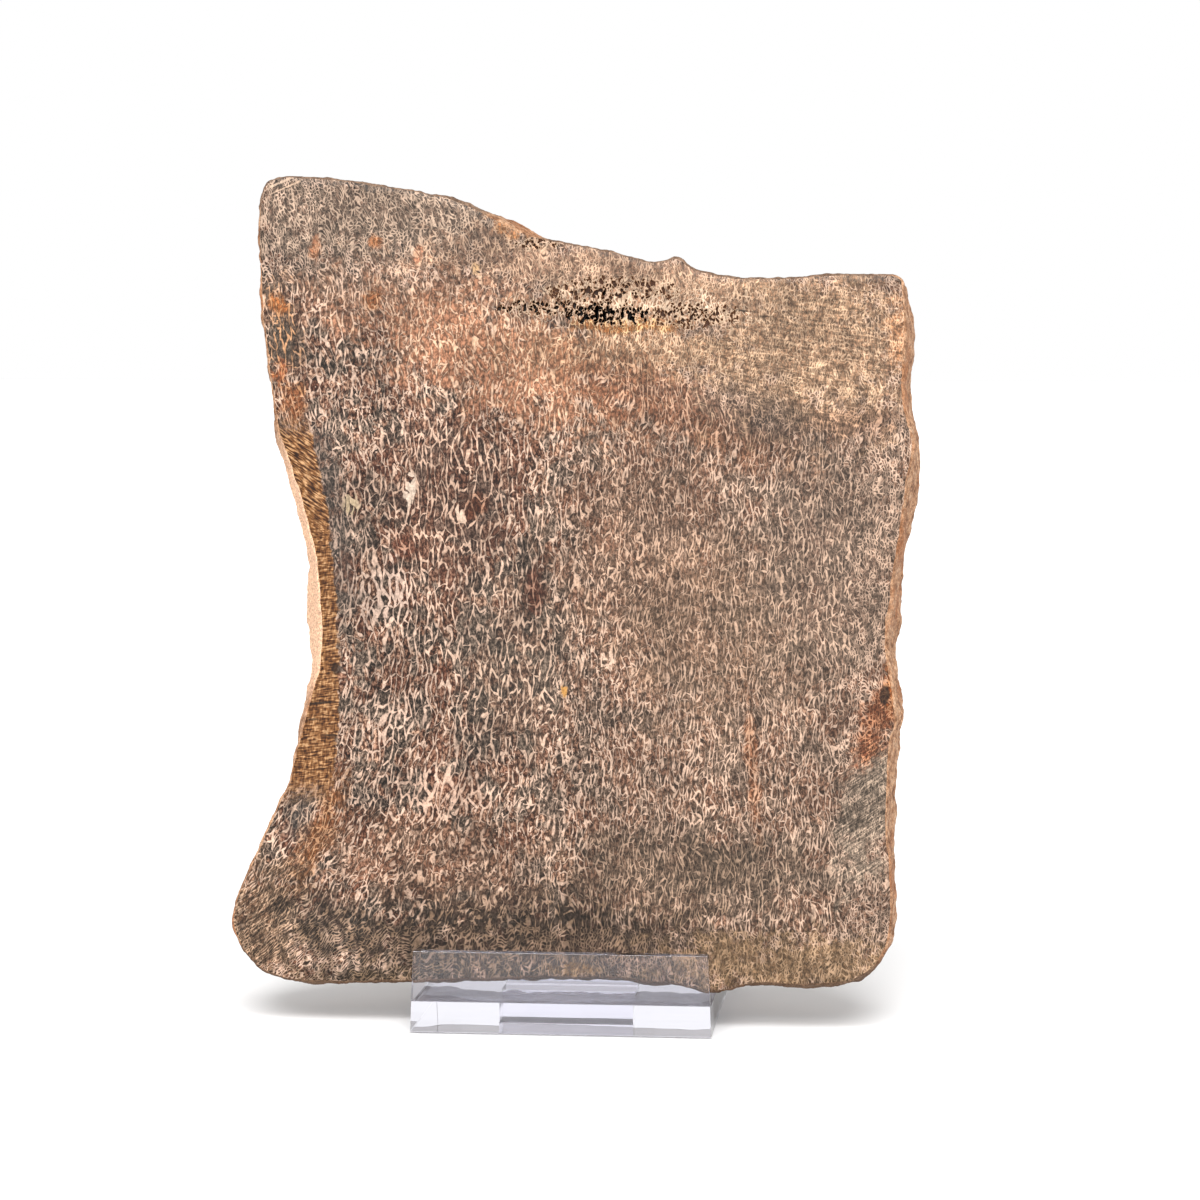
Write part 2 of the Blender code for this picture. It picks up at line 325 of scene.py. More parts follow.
class Pattern:
    """Builds a pattern out of nodes, in a material or in the world."""

    def __init__(self, tree):
        self.tree = tree

    def node(self, kind, inputs=None, **settings):
        """A node with its settings, and each input linked or set to a value."""
        made = self.tree.nodes.new(kind)
        for name, value in settings.items():
            setattr(made, name, value)
        for name, value in (inputs or {}).items():
            if isinstance(value, bpy.types.NodeSocket):
                self.tree.links.new(value, made.inputs[name])
            elif value is not None:
                made.inputs[name].default_value = value
        return made

    def math(self, operation, a, b=None, c=None):
        inputs = {0: a, 1: b, 2: c}
        return self.node("ShaderNodeMath", inputs, operation=operation).outputs[0]

    def vector(self, operation, a, b=None, scale=None):
        inputs = {0: a, 1: b, "Scale": scale}
        made = self.node("ShaderNodeVectorMath", inputs, operation=operation)
        number = operation in ("LENGTH", "DISTANCE", "DOT_PRODUCT")
        return made.outputs["Value" if number else "Vector"]

    def ease(self, value, start, end, low=0.0, high=1.0):
        """A smooth step of the value from low at start to high at end."""
        inputs = {
            "Value": value,
            "From Min": start,
            "From Max": end,
            "To Min": low,
            "To Max": high,
        }
        made = self.node("ShaderNodeMapRange", inputs, interpolation_type="SMOOTHSTEP")
        return made.outputs["Result"]

    def product(self, *values):
        """All the values multiplied together."""
        total = values[0]
        for value in values[1:]:
            total = self.math("MULTIPLY", total, value)
        return total

    def parts(self, vector):
        return self.node("ShaderNodeSeparateXYZ", {0: vector}).outputs

    def turned(self, place, degrees):
        """The place turned clockwise in the plane of the face, so that what is
        drawn there turns anticlockwise."""
        inputs = {"Vector": place, "Angle": -math.radians(degrees)}
        return self.node("ShaderNodeVectorRotate", inputs, rotation_type="Z_AXIS").outputs[0]

    def noise(self, place, scale, detail=2.0, roughness=0.5, colour=False, solid=False):
        inputs = {"Vector": place, "Scale": scale, "Detail": detail, "Roughness": roughness}
        dimensions = "3D" if solid else "2D"
        made = self.node("ShaderNodeTexNoise", inputs, noise_dimensions=dimensions)
        return made.outputs[1 if colour else 0]

    def cells(self, place, feature="F1"):
        inputs = {"Vector": place, "Scale": 1.0, "Randomness": 0.9}
        settings = {"feature": feature, "voronoi_dimensions": "2D"}
        return self.node("ShaderNodeTexVoronoi", inputs, **settings)

    def mix(self, share, a, b):
        inputs = {0: share, 6: a, 7: b}
        return self.node("ShaderNodeMix", inputs, data_type="RGBA").outputs[2]

    def blend(self, share, a, b):
        """A number between a and b."""
        return self.node("ShaderNodeMix", {0: share, 2: a, 3: b}).outputs[0]

    def scaled(self, colour, share):
        """A colour made darker or lighter."""
        return self.vector("SCALE", colour, scale=share)

    def ramp(self, value, stops):
        """A colour read off between stops, each a position and its colour."""
        made = self.node("ShaderNodeValToRGB", {0: value})
        elements = made.color_ramp.elements
        while len(elements) < len(stops):
            elements.new(1.0)
        for element, (position, colour) in zip(elements, stops):
            element.position = position
            element.color = colour
        return made.outputs[0]


def face_place(pattern, position):
    """The position in millimetres on the slab: across, up and into it."""
    moved = pattern.vector("SUBTRACT", position, tuple(face_foot))
    inputs = {"Vector": moved, "Angle": LEAN}
    turned = pattern.node("ShaderNodeVectorRotate", inputs, rotation_type="X_AXIS")
    across, into, up = pattern.parts(pattern.vector("SCALE", turned.outputs[0], scale=1.0 / MM))[:3]
    return pattern.node("ShaderNodeCombineXYZ", {0: across, 1: up, 2: into}).outputs[0]


# The height where the bone grew straight up, how its grain sways, all in
# millimetres, and how soft a wall's edge is in widths of a cell
GROWTH_MIDDLE = 62.0
GROWTH_SPAN = 60.0
GROWTH_SWAY = (2.4, 2.4, 0.0)
GROWTH_RIPPLE = (1.5, 3.0, 0.0)
WALL_SOFTNESS = 0.09


def grown_place(pattern, place):
    """The place bent so that upright cells follow the way the bone grew."""
    across, up = pattern.parts(place)[:2]
    climb = pattern.math("MULTIPLY_ADD", up, 1.0 / GROWTH_SPAN, -GROWTH_MIDDLE / GROWTH_SPAN)
    reach = pattern.ease(up, 45.0, 80.0, 22.0, 7.0)
    near_edge = pattern.ease(across, -50.0, 5.0, 1.0, 0.0)
    shift = pattern.product(climb, climb, reach, near_edge)
    tall = pattern.vector("MULTIPLY", place, (1.0, 0.35, 1.0))
    waves = (
        (pattern.noise(place, 0.12, 1.0, colour=True), GROWTH_SWAY),
        (pattern.noise(tall, 0.5, 1.0, colour=True), GROWTH_RIPPLE),
    )
    bends = []
    for wave, reach_of_wave in waves:
        centred = pattern.vector("SUBTRACT", wave, (0.5, 0.5, 0.5))
        bends.append(pattern.vector("MULTIPLY", centred, reach_of_wave))
    bent = pattern.vector("ADD", place, pattern.vector("ADD", *bends))
    side = pattern.node("ShaderNodeCombineXYZ", {0: shift}).outputs[0]
    return pattern.vector("ADD", bent, side)


def network(pattern, place, shrink, half_wall):
    """Upright cells: their walls, the distance in from the wall in widths of a
    cell, and two numbers that each cell keeps to itself."""
    here = pattern.vector("MULTIPLY", place, shrink)
    first = pattern.cells(here)
    nearest = first.outputs["Position"]
    second = pattern.cells(here, "F2").outputs["Position"]
    between = pattern.vector("SUBTRACT", second, nearest)
    halfway = pattern.vector("SCALE", pattern.vector("ADD", nearest, second), scale=0.5)
    lead = pattern.vector("DOT_PRODUCT", pattern.vector("SUBTRACT", halfway, here), between)
    steep = pattern.vector("LENGTH", pattern.vector("MULTIPLY", between, shrink))
    widths = pattern.product(pattern.math("DIVIDE", lead, steep), pattern.parts(shrink)[0])
    inward = pattern.math("SUBTRACT", widths, half_wall)
    wall = pattern.ease(inward, -WALL_SOFTNESS, WALL_SOFTNESS, 1.0, 0.0)
    own = pattern.node("ShaderNodeSeparateColor", {0: first.outputs["Color"]})
    return wall, inward, own.outputs[0], own.outputs[1]


def brushed(pattern, place, degrees, spacing, length):
    """Fine straight streaks at an angle on the face, from 0 to 1."""
    turned = pattern.turned(place, degrees)
    drawn = pattern.vector("MULTIPLY", turned, (1.0 / length, 1.0 / spacing, 1.0))
    return pattern.noise(drawn, 1.0, 1.0, 0.6)


def patch(pattern, place, wobble, zone, soft=0.35):
    """A soft-edged oval on the face, with an uneven outline."""
    across, up, half_width, half_height, degrees = zone
    moved = pattern.vector("SUBTRACT", place, (across, up, 0.0))
    if degrees:
        moved = pattern.turned(moved, degrees)
    squashed = pattern.vector("MULTIPLY", moved, (1.0 / half_width, 1.0 / half_height, 0.0))
    reach = pattern.math("ADD", pattern.vector("LENGTH", squashed), wobble)
    return pattern.ease(reach, 1.0 - soft, 1.0 + soft, 1.0, 0.0)


def lin(red, green, blue):
    """A colour as seen on a screen, from 0 to 255, as linear values and alpha."""
    linear = [((c / 255.0 + 0.055) / 1.055) ** 2.4 for c in (red, green, blue)]
    return (*linear, 1.0)


# Minerals that stained the bone, and painted shade along its foot, zone by zone:
# across, up, half width, half height and turn on the face, how much of the
# colour shows, and the colours of the filled cells and of the walls
STAINS_AND_SHADE = (
    ((-22.0, 84.0, 11.0, 15.0, 0.0), 0.50, (96, 64, 52), (222, 186, 162)),
    ((-9.0, 56.0, 9.0, 17.0, 0.0), 0.50, (98, 88, 78), (214, 186, 164)),
    ((12.0, 76.0, 13.0, 18.0, 0.0), 0.50, (130, 100, 82), (208, 172, 146)),
    ((26.0, 62.0, 16.0, 14.0, 0.0), 0.45, (142, 118, 98), (196, 164, 138)),
    ((44.0, 76.0, 11.0, 20.0, 0.0), 0.60, (118, 103, 92), (194, 168, 147)),
    ((30.0, 22.0, 9.0, 5.0, 0.0), 0.50, (100, 92, 82), (178, 156, 134)),
    ((-27.0, 132.5, 36.0, 9.0, 0.0), 0.80, (118, 103, 91), (200, 178, 158)),
    ((-12.0, 126.5, 12.0, 4.5, 0.0), 0.50, (112, 88, 76), (184, 152, 132)),
    ((-35.0, 128.8, 1.0, 1.2, 0.0), 0.85, (184, 116, 70), (222, 158, 108)),
    ((-45.4, 127.2, 0.9, 1.9, 0.0), 0.80, (168, 110, 76), (204, 150, 112)),
    ((14.0, 121.5, 34.0, 5.5, -8.0), 0.85, (166, 132, 110), (228, 194, 165)),
    ((22.0, 118.6, 26.0, 3.6, 0.0), 0.60, (186, 150, 122), (238, 206, 176)),
    ((-30.0, 119.0, 20.0, 5.5, 0.0), 0.60, (156, 122, 101), (230, 194, 168)),
    ((-13.0, 108.5, 22.0, 8.5, -20.0), 0.88, (186, 134, 104), (240, 200, 168)),
    ((9.0, 110.0, 18.0, 4.5, 0.0), 0.80, (178, 138, 108), (236, 202, 168)),
    ((16.0, 101.0, 20.0, 5.0, -22.0), 0.60, (142, 94, 68), (206, 158, 126)),
    ((41.0, 110.0, 19.0, 12.5, 0.0), 0.85, (172, 138, 110), (218, 186, 154)),
    ((31.0, 99.0, 10.0, 3.6, -16.0), 0.60, (88, 80, 76), (168, 142, 122)),
    ((48.0, 97.5, 7.0, 2.4, 4.0), 0.55, (112, 90, 76), (190, 146, 116)),
    ((-50.5, 112.0, 2.8, 9.0, 8.0), 0.80, (92, 82, 72), (212, 158, 108)),
    ((-51.5, 118.0, 1.4, 1.6, 0.0), 0.85, (186, 116, 62), (226, 168, 118)),
    ((-50.5, 106.2, 1.5, 1.9, 10.0), 0.85, (170, 98, 58), (216, 150, 102)),
    ((-35.5, 118.5, 1.6, 1.6, 0.0), 0.75, (164, 100, 56), (224, 168, 120)),
    ((-27.5, 126.8, 0.8, 1.2, 0.0), 0.70, (196, 138, 108), (232, 184, 150)),
    ((-49.0, 100.5, 2.2, 5.0, 10.0), 0.75, (148, 88, 46), (210, 152, 102)),
    ((9.5, 116.9, 19.0, 3.2, 0.0), 0.85, (184, 144, 116), (250, 224, 198)),
    ((8.5, 114.3, 9.0, 1.2, 0.0), 0.80, (150, 92, 38), (234, 190, 132)),
    ((-16.8, 82.8, 2.4, 2.0, 0.0), 0.85, (92, 52, 34), (190, 140, 112)),
    ((-6.2, 68.8, 1.6, 3.6, 0.0), 0.80, (92, 50, 36), (184, 136, 112)),
    ((-28.7, 76.4, 2.2, 2.0, 0.0), 0.70, (108, 62, 44), (186, 134, 108)),
    ((-43.0, 26.0, 2.6, 11.0, -24.0), 0.80, (136, 84, 44), (206, 152, 102)),
    ((-51.5, 12.0, 7.5, 9.5, -20.0), 0.80, (116, 92, 72), (188, 158, 130)),
    ((-45.5, 30.0, 2.2, 5.5, -24.0), 0.60, (78, 74, 72), (172, 150, 132)),
    ((-38.0, 11.0, 11.0, 4.6, -14.0), 0.75, (72, 67, 62), (170, 146, 124)),
    ((-12.0, 14.5, 16.0, 5.0, 0.0), 0.70, (68, 60, 53), (156, 130, 108)),
    ((14.0, 21.0, 17.0, 7.0, 0.0), 0.55, (104, 88, 74), (172, 144, 120)),
    ((-24.0, 23.0, 17.0, 7.0, 0.0), 0.50, (134, 100, 80), (204, 168, 142)),
    ((28.0, 20.0, 20.0, 7.0, 0.0), 0.40, (92, 80, 70), (160, 138, 118)),
    # Painted shade: these two zones darken the foot of the face, where the stand's lip shades it
    ((-6.0, 8.0, 38.0, 6.5, 0.0), 0.85, (54, 45, 38), (134, 111, 90)),
    ((-6.0, 2.0, 34.0, 3.0, 0.0), 0.60, (76, 64, 48), (156, 132, 104)),
    ((38.0, 6.0, 20.0, 4.5, 0.0), 0.80, (142, 115, 86), (190, 160, 126)),
    ((51.0, 33.0, 4.6, 13.0, -10.0), 0.85, (138, 125, 112), (178, 162, 144)),
    ((52.5, 48.0, 3.0, 8.0, -26.0), 0.90, (122, 68, 40), (200, 140, 102)),
    ((55.3, 55.0, 1.8, 6.0, 0.0), 0.85, (172, 100, 50), (222, 168, 122)),
    ((55.5, 112.0, 2.2, 6.0, 6.0), 0.70, (186, 134, 96), (226, 180, 144)),
    ((31.1, 39.5, 1.0, 10.5, 5.0), 0.60, (140, 86, 52), (202, 152, 116)),
    ((1.6, 4.6, 3.1, 1.0, 0.0), 0.60, (142, 104, 56), (186, 152, 104)),
    ((-11.8, 131.9, 5.0, 1.5, -31.0), 0.90, (196, 138, 92), (232, 184, 140)),
)

# Places where the wall mineral spread into the cells: how far the walls
# thicken, in widths of a cell, and their colour there
BLOTCHES = (
    ((-28.1, 85.8, 0.8, 3.1, 0.0), 0.34, (232, 214, 197)),
    ((-38.1, 83.2, 1.4, 1.4, 0.0), 0.40, (228, 208, 174)),
    ((-32.0, 68.0, 4.2, 4.6, 0.0), 0.16, (232, 206, 190)),
    ((-19.4, 82.1, 0.7, 1.8, 20.0), 0.36, (230, 208, 188)),
    ((6.3, 57.0, 1.1, 1.2, 0.0), 0.30, (222, 194, 174)),
    ((-17.5, 124.2, 0.9, 1.0, 0.0), 0.40, (220, 184, 142)),
    ((-1.0, 51.6, 0.7, 0.9, 0.0), 0.40, (200, 152, 86)),
    ((-31.0, 46.0, 4.0, 3.0, 0.0), 0.10, (228, 200, 182)),
    ((-22.0, 34.0, 6.0, 4.0, 0.0), 0.10, (226, 194, 174)),
    ((-50.9, 139.6, 2.9, 0.16, 24.0), 0.60, (226, 202, 180)),
    ((-50.3, 138.6, 2.9, 0.14, 24.0), 0.60, (222, 196, 172)),
)
# Cracks and specks of dark mineral, and how much of their colour shows
DARKS = (
    ((-39.9, 55.2, 1.0, 0.8, 0.0), 0.85),
    ((-42.9, 49.2, 2.6, 0.22, 4.0), 0.90),
    ((-41.0, 43.7, 1.4, 0.22, 0.0), 0.80),
    ((-44.2, 46.4, 1.1, 0.22, 0.0), 0.80),
    ((53.3, 51.6, 0.7, 1.3, 0.0), 0.90),
    ((56.0, 46.0, 1.3, 1.0, 0.0), 0.80),
    ((32.0, 47.0, 0.6, 1.2, 0.0), 0.70),
    ((27.8, 116.9, 1.7, 0.16, -6.0), 0.85),
    ((33.0, 115.8, 1.4, 0.14, -4.0), 0.60),
)
DARK_MINERAL = (40, 28, 22)
# Width and height of the cells, and the tone that the whole stone is taken down to
COARSE_CELLS = (1.02, 3.0, 1.0)
MIDDLING_CELLS = (0.70, 2.0, 1.0)
FINE_CELLS = (0.50, 0.85, 1.0)
STONE_TONE = (0.64, 0.59, 0.55)
COARSE_ZONES = ((-20.0, 66.0, 25.0, 48.0, 0.0), (-44.0, 111.0, 10.0, 9.0, 0.0))
# Where the saw and the grinding wheel left marks that can be seen
SAWN_STREAKS = (51.0, 33.0, 4.8, 13.0, -10.0)
LOBE = (-51.5, 12.0, 8.0, 10.0, -20.0)
BRUSHED_CORNER = (42.0, 110.0, 17.0, 12.0, 0.0)
# The right-hand border of the dense outer layer, and how strongly it bends
BAND_RIGHT = -39.6
BAND_BEND = 0.0027
BAND_MIDDLE = 50.0


def growth_band(pattern, place, wobble):
    """The dense outer layer of the bone along the left edge: how far a place is
    inside its right-hand border, and the share of the height that it spans."""
    across, up = pattern.parts(place)[:2]
    rise = pattern.math("SUBTRACT", up, BAND_MIDDLE)
    border = pattern.math("MULTIPLY_ADD", pattern.product(rise, rise), -BAND_BEND, BAND_RIGHT)
    border = pattern.math("MULTIPLY_ADD", wobble, 2.0, border)
    into = pattern.math("SUBTRACT", border, across)
    span = pattern.product(pattern.ease(up, 99.0, 94.0), pattern.ease(up, 31.0, 37.0))
    return into, span


def cell_shrink(pattern, place, wobble):
    """One over the size of the cells, which are coarse left of the middle and
    fine towards the top, the right and the foot."""
    across, up = pattern.parts(place)[:2]
    left, upper_left = (patch(pattern, place, wobble, zone, 0.5) for zone in COARSE_ZONES)
    coarse = pattern.math("MAXIMUM", left, upper_left)
    drop = pattern.ease(across, -20.0, 40.0, 0.0, 26.0)
    level = pattern.math("MULTIPLY_ADD", wobble, 4.0, pattern.math("ADD", up, drop))
    rightward = pattern.math("MULTIPLY_ADD", wobble, 6.0, across)
    fine = pattern.math("MAXIMUM", pattern.ease(level, 120.0, 127.0), pattern.ease(up, 15.0, 8.0))
    fine = pattern.math("MAXIMUM", fine, pattern.ease(rightward, 42.0, 54.0))
    coarse = pattern.math("GREATER_THAN", coarse, 0.5)
    fine = pattern.math("GREATER_THAN", fine, 0.5)
    sizes = (MIDDLING_CELLS, COARSE_CELLS, FINE_CELLS)
    middling, large, small = (tuple(1.0 / s for s in size) for size in sizes)
    shrink = pattern.mix(coarse, (*middling, 1.0), (*large, 1.0))
    return pattern.mix(fine, shrink, (*small, 1.0))


def cell_stone(pattern, place, grain, number, other_number):
    """The stone that fills a cell, brown or slate, and how light the cell is."""
    speck = pattern.ease(grain, 0.32, 0.68)
    shade = pattern.math("MULTIPLY_ADD", speck, 0.62, pattern.math("MULTIPLY", number, 0.38))
    brown = pattern.ramp(
        shade,
        (
            (0.0, lin(52, 30, 20)),
            (0.35, lin(96, 63, 47)),
            (0.65, lin(138, 105, 87)),
            (1.0, lin(190, 159, 137)),
        ),
    )
    slate = pattern.ramp(
        shade,
        ((0.0, lin(50, 41, 34)), (0.5, lin(90, 77, 67)), (1.0, lin(144, 128, 115))),
    )
    drift = pattern.noise(place, 0.16, 2.0, 0.6)
    slate_share = pattern.math("MULTIPLY_ADD", other_number, 0.20, drift)
    fill = pattern.mix(pattern.ease(slate_share, 0.58, 0.68), brown, slate)
    russet = pattern.ease(drift, 0.46, 0.32, 0.0, 0.5)
    return pattern.mix(russet, fill, lin(112, 66, 48)), shade


def spongy_bone(pattern, place, wobble, grain, stains_and_shade=()):
    """The colour of the sawn bone: pale walls round cells filled with stone."""
    bent = grown_place(pattern, place)
    squat = pattern.vector("MULTIPLY", place, (1.0, 0.6, 1.0))
    mottle = pattern.noise(squat, 0.8, 2.0, 0.5)
    half_wall = pattern.math("MULTIPLY_ADD", mottle, 0.66, -0.235)
    spread = []
    for zone, swell, colour in BLOTCHES if stains_and_shade else ():
        share = patch(pattern, place, wobble, zone, 0.5)
        spread.append((share, colour))
        half_wall = pattern.math("MULTIPLY_ADD", share, swell, half_wall)
    shrink = cell_shrink(pattern, place, wobble)
    narrow = pattern.parts(shrink)[0]
    finer = pattern.math("MULTIPLY_ADD", narrow, 0.065, -0.06)
    half_wall = pattern.math("ADD", half_wall, finer)
    wall, inward, number, other_number = network(pattern, bent, shrink, half_wall)

    fill, shade = cell_stone(pattern, place, grain, number, other_number)
    lighter = pattern.ease(pattern.parts(place)[0], -15.0, 20.0, 0.0, 0.40)
    fill = pattern.mix(lighter, fill, lin(140, 114, 96))
    walls = pattern.mix(lighter, lin(228, 200, 181), lin(205, 176, 154))
    # Stains, and the painted shade along the foot of the face, laid on zone by zone
    for zone, amount, fill_colour, wall_colour in stains_and_shade:
        share = pattern.math("MULTIPLY", patch(pattern, place, wobble, zone, 0.5), amount)
        fill = pattern.mix(share, fill, lin(*fill_colour))
        walls = pattern.mix(share, walls, lin(*wall_colour))
    walls = pattern.scaled(walls, pattern.ease(mottle, 0.36, 0.60, 0.60, 1.06))
    for share, colour in spread:
        walls = pattern.mix(share, walls, lin(*colour))
    variety = pattern.math("ADD", shade, 0.46)
    border = pattern.ease(inward, 0.0, 0.30, 0.46, 1.0)
    fill = pattern.scaled(fill, pattern.product(variety, border))
    drift = pattern.noise(place, 0.10, 2.0, 0.6)
    tone = pattern.ease(drift, 0.32, 0.68, 0.80, 1.22)
    return pattern.scaled(pattern.mix(wall, fill, walls), tone)


def stone_shader(pattern, colour, roughness, relief, relief_height):
    """The finish of the stone, which holds little light on its surface."""
    heights = {"Strength": 0.4, "Distance": relief_height * MM, "Height": relief}
    bump = pattern.node("ShaderNodeBump", heights)
    inputs = {
        "Base Color": pattern.vector("MULTIPLY", colour, STONE_TONE),
        "Roughness": roughness,
        "Normal": bump.outputs[0],
        "Specular IOR Level": 0.2,
    }
    shader = pattern.node("ShaderNodeBsdfPrincipled", inputs)
    pattern.node("ShaderNodeOutputMaterial", {"Surface": shader.outputs[0]})


def new_material(name):
    """A new material, what draws its pattern, and the position on the object."""
    material = bpy.data.materials.new(name)
    material.use_nodes = True
    material.node_tree.nodes.clear()
    pattern = Pattern(material.node_tree)
    return material, pattern, pattern.node("ShaderNodeTexCoord").outputs["Object"]


def outer_layer(pattern, place, wobble, colour):
    """The dense outer layer of the bone, drawn with fine lines."""
    up = pattern.parts(place)[1]
    into, span = growth_band(pattern, place, pattern.math("MULTIPLY", wobble, 0.4))
    lines = pattern.math("MULTIPLY", brushed(pattern, place, 6.0, 0.30, 1.8), 0.6)
    ticks = pattern.math("MULTIPLY", brushed(pattern, place, 84.0, 0.44, 1.4), 0.4)
    strokes = brushed(pattern, place, -34.0, 0.32, 1.8)
    upper = pattern.ease(up, 74.0, 86.0)
    drawn = pattern.blend(upper, pattern.math("ADD", lines, ticks), strokes)
    band = pattern.ramp(
        drawn,
        (
            (0.34, lin(58, 34, 20)),
            (0.45, lin(116, 75, 42)),
            (0.55, lin(162, 116, 72)),
            (0.66, lin(224, 180, 134)),
        ),
    )
    beside = pattern.product(pattern.ease(into, -4.0, -2.6), pattern.ease(up, 62.0, 70.0), span)
    colour = pattern.mix(pattern.math("MULTIPLY", beside, 0.5), colour, lin(70, 66, 64))
    return pattern.mix(pattern.product(pattern.ease(into, -0.1, 0.35), span), colour, band)


def tool_marks(pattern, place, wobble, colour):
    """Marks of the saw and of the grinding wheel."""
    sawn = brushed(pattern, place, 34.0, 0.34, 6.0)
    ground = brushed(pattern, place, -8.0, 0.46, 3.5)
    sawn = pattern.ease(sawn, 0.40, 0.62, 0.60, 1.46)
    ground = pattern.ease(ground, 0.38, 0.64, 0.74, 1.30)
    for zone, marks in ((SAWN_STREAKS, sawn), (LOBE, sawn), (BRUSHED_CORNER, ground)):
        share = patch(pattern, place, wobble, zone, 0.4)
        colour = pattern.scaled(colour, pattern.blend(share, 1.0, marks))
    return colour


def open_pores(pattern, depth, colour):
    """Pores have pale walls, and darken the deeper they go: a stain near the top, and painted shade
    that makes the deep parts nearly black.
    """
    wall_mark = pattern.node("ShaderNodeAttribute", attribute_name="pore_wall").outputs["Fac"]
    pale = pattern.ease(wall_mark, 0.1, 0.8, 0.0, 0.75)
    colour = pattern.mix(pale, colour, lin(240, 216, 188))
    # Painted shade in the pores over a brown stain: orange-brown at the top, nearly black at the
    # deepest
    pore_stain_and_shade = pattern.ramp(
        pattern.ease(depth, 0.03, 1.0),
        (
            (0.0, lin(176, 128, 86)),
            (0.15, lin(96, 58, 32)),
            (0.50, lin(34, 21, 14)),
            (1.0, lin(8, 6, 5)),
        ),
    )
    return pattern.mix(pattern.ease(depth, 0.03, 0.15), colour, pore_stain_and_shade)


def uneven(pattern, place):
    """Noise round zero that makes the outlines of the zones uneven."""
    return pattern.math("MULTIPLY_ADD", pattern.noise(place, 0.25, 3.0, 0.8), 2.8, -1.4)


def polished_face_material():
    """The sawn face, ground and polished, with every stain, crack and pore."""
    material, pattern, position = new_material("polished_fossil_bone")
    place = face_place(pattern, position)
    wobble = uneven(pattern, place)
    upright = pattern.vector("MULTIPLY", place, (1.0, 0.65, 1.0))
    grain = pattern.noise(upright, 2.0, 2.0, 0.7)
    colour = spongy_bone(pattern, place, wobble, grain, STAINS_AND_SHADE)
    colour = outer_layer(pattern, place, wobble, colour)
    colour = tool_marks(pattern, place, wobble, colour)
    for zone, amount in DARKS:
        share = pattern.math("MULTIPLY", patch(pattern, place, wobble, zone, 0.35), amount)
        colour = pattern.mix(share, colour, lin(*DARK_MINERAL))
    colour = pattern.scaled(colour, pattern.ease(grain, 0.30, 0.70, 0.72, 1.26))
    colour = open_pores(pattern, pattern.parts(place)[2], colour)
    roughness = pattern.math("MULTIPLY_ADD", grain, 0.35, 0.28)
    stone_shader(pattern, colour, roughness, grain, relief_height=0.05)
    return material


# A stretch of the left side made paler as painted light, as if lit from the left,
# above one because the stone's tone takes it down, and a peach spot on the top edge
PAINTED_LIGHT_CRUST = (1.5, 1.02, 0.72, 1.0)
PEACH_SPOT = (-11.5, 131.0, 6.0, 4.0, 0.0)


def broken_side_material():
    """A rough crust, grey on top and peach to tan at the sides, with painted light on a stretch of
    the left side.
    """
    material, pattern, position = new_material("broken_fossil_bone")
    place = face_place(pattern, position)
    across, up = pattern.parts(place)[:2]
    lumps = pattern.noise(place, 0.5, 4.0, 0.75, solid=True)
    grain = pattern.noise(place, 2.4, 2.0, 0.7, solid=True)
    crust = pattern.ramp(
        lumps,
        (
            (0.32, lin(120, 82, 58)),
            (0.44, lin(180, 136, 104)),
            (0.55, lin(226, 182, 146)),
            (0.70, lin(252, 218, 188)),
        ),
    )
    # Painted light: a stretch of the left side is paler, as if lit from the left
    at_left = pattern.ease(across, -30.0, -40.0)
    pale = pattern.product(pattern.ease(up, 46.0, 56.0), pattern.ease(up, 98.0, 88.0), at_left)
    crust = pattern.mix(pattern.math("MULTIPLY", pale, 0.75), crust, PAINTED_LIGHT_CRUST)
    rusty = pattern.ease(pattern.noise(place, 0.12, 2.0, solid=True), 0.52, 0.66, 0.0, 0.55)
    rusty = pattern.product(rusty, pattern.math("SUBTRACT", 1.0, pale))
    crust = pattern.mix(rusty, crust, lin(192, 130, 88))
    slope = pattern.math("MULTIPLY_ADD", across, 0.22, up)
    peach = patch(pattern, place, 0.0, PEACH_SPOT, 0.3)
    on_top = pattern.product(pattern.ease(slope, 119.0, 124.0), pattern.ease(across, 55.5, 52.0))
    grey = pattern.product(on_top, pattern.math("SUBTRACT", 1.0, peach))
    greyer = pattern.scaled(lin(136, 116, 101)[:3], pattern.ease(lumps, 0.35, 0.65, 0.7, 1.4))
    crust = pattern.mix(pattern.math("MULTIPLY", grey, 0.85), crust, greyer)
    crust = pattern.mix(pattern.ease(up, 10.0, 5.0, 0.0, 0.85), crust, lin(112, 92, 76))
    crust = pattern.scaled(crust, pattern.ease(grain, 0.28, 0.72, 0.55, 1.4))
    roughness = pattern.math("MULTIPLY_ADD", grain, 0.2, 0.70)
    relief = pattern.math("ADD", lumps, grain)
    stone_shader(pattern, crust, roughness, relief, relief_height=0.35)
    return material


def sawn_back_material():
    """The same cells as in front, dulled by the saw and crossed by its marks."""
    material, pattern, position = new_material("sawn_fossil_bone")
    place = face_place(pattern, position)
    wobble = uneven(pattern, place)
    grain = pattern.noise(place, 3.0, 1.0, 0.7)
    colour = spongy_bone(pattern, place, wobble, grain)
    colour = pattern.mix(0.35, colour, lin(178, 150, 128))
    marks = brushed(pattern, place, 12.0, 0.5, 60.0)
    colour = pattern.scaled(colour, pattern.ease(marks, 0.35, 0.65, 0.80, 1.14))
    colour = pattern.scaled(colour, pattern.ease(grain, 0.28, 0.74, 0.60, 1.40))
    roughness = pattern.math("MULTIPLY_ADD", grain, 0.2, 0.62)
    stone_shader(pattern, colour, roughness, marks, relief_height=0.15)
    return material


for finish in (polished_face_material(), broken_side_material(), sawn_back_material()):
    bone.data.materials.append(finish)
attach(bone, "root")
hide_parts("bone_slab")

